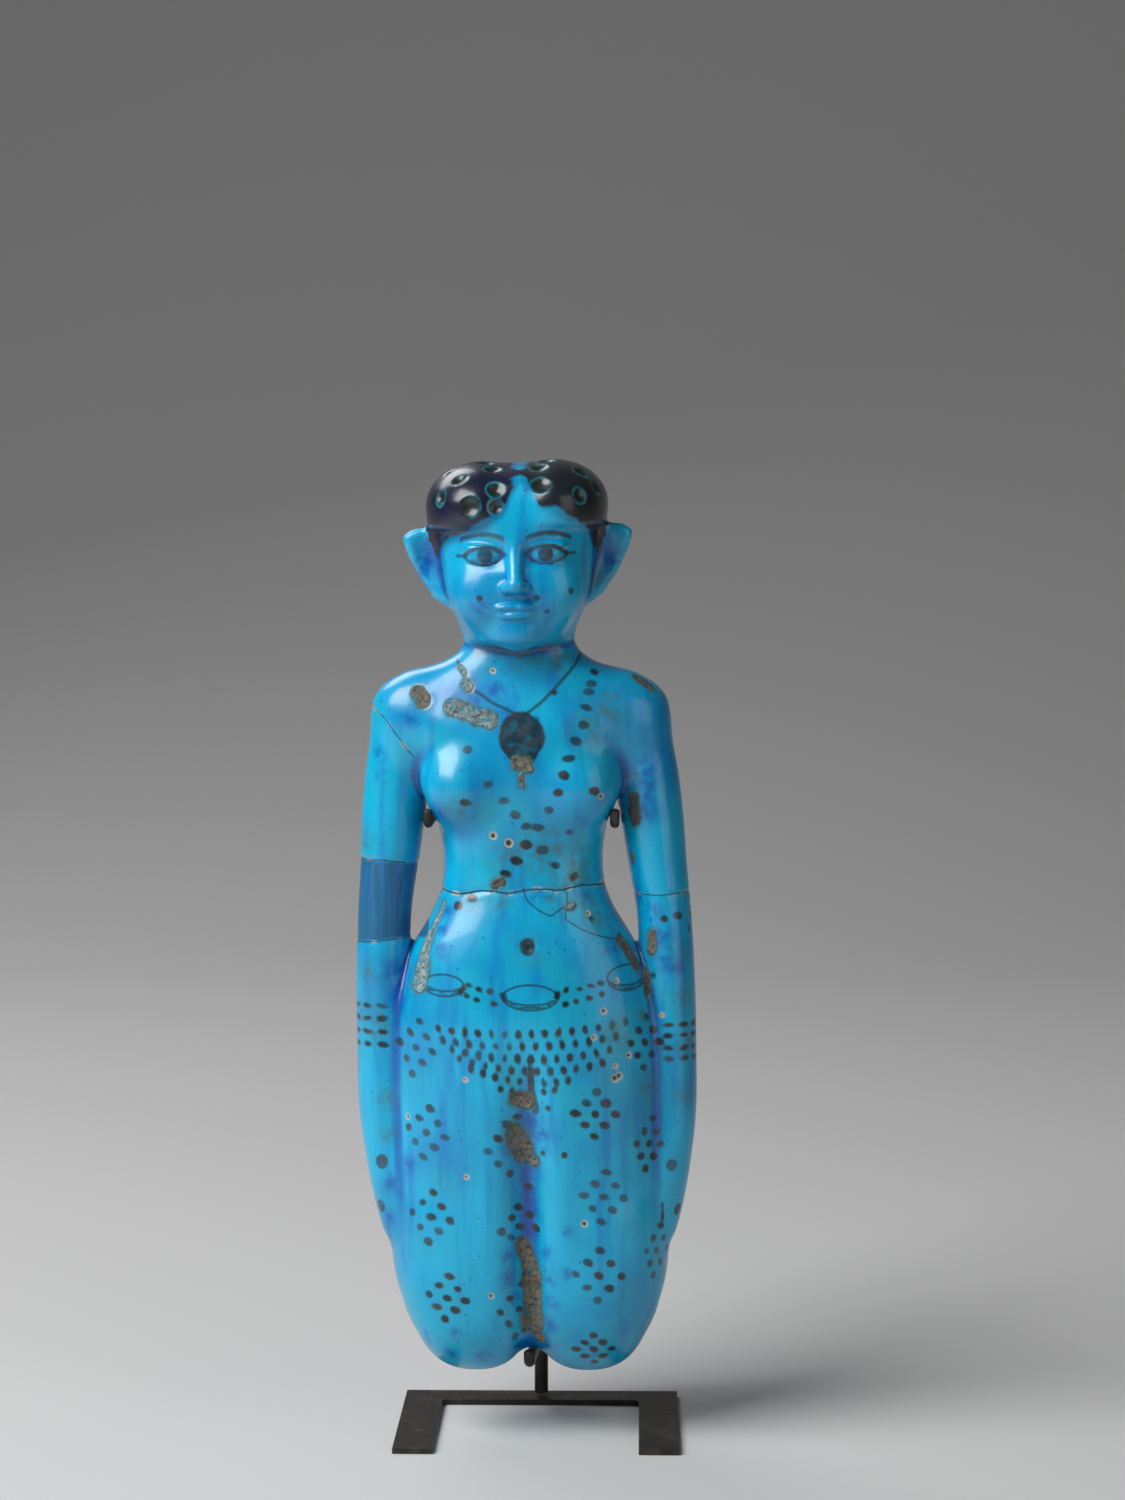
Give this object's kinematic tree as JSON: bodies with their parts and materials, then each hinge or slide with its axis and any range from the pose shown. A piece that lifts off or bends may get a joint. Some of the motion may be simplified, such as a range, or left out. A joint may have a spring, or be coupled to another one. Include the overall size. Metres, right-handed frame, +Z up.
{
  "type": "female figurine",
  "caption": "Small glazed standing female figurine, cut off above the knees, held upright by a slender wire stand with a flat open foot.",
  "frame": {"origin": "on the floor under the middle of the whole", "axes": "+Z up the figurine from thigh ends to crown, the face looks along -Y, +X to a viewer's right"},
  "size_m": [0.0486, 0.0334, 0.1392],
  "materials": {
    "glaze": "glossy",
    "stand_metal": "satin"
  },
  "bodies": {
    "root": {"figurine": "glaze", "stand_foot": "stand_metal", "stand_rod": "stand_metal", "armpit_prongs": "stand_metal", "lower_hook": "stand_metal"}
  },
  "joints": []
}
